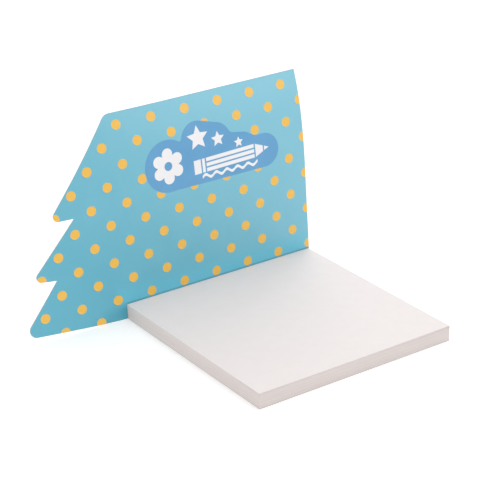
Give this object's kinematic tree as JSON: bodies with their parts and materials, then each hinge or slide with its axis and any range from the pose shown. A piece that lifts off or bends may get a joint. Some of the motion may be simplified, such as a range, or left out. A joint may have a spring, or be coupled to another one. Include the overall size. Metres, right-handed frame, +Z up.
{
  "type": "sticky note pad with a folding card cover",
  "caption": "Square pad of plain sticky notes in a folded card cover; the printed front leaf stands open behind the notes and runs past them on the left, cut into saw teeth.",
  "frame": {"origin": "middle of the notes' footprint, on the underside of the back cover", "axes": "+X to the right along the crease of the cover, +Y to the rear, where the front cover stands, +Z up"},
  "size_m": [0.1099, 0.0848, 0.0692],
  "materials": {
    "cover_card": "printed card, semi-matt",
    "note_paper": "uncoated, matt"
  },
  "bodies": {
    "pad": {"back_cover": "cover_card", "note_block": "note_paper"},
    "cover": {"front_cover": "cover_card"}
  },
  "joints": [
    {"name": "cover_crease", "type": "hinge", "parent": "pad", "child": "cover", "pos_m": [0, 0.03765, 0.0055], "axis": [1, 0, 0], "range_deg": [-86, 94.5]}
  ]
}
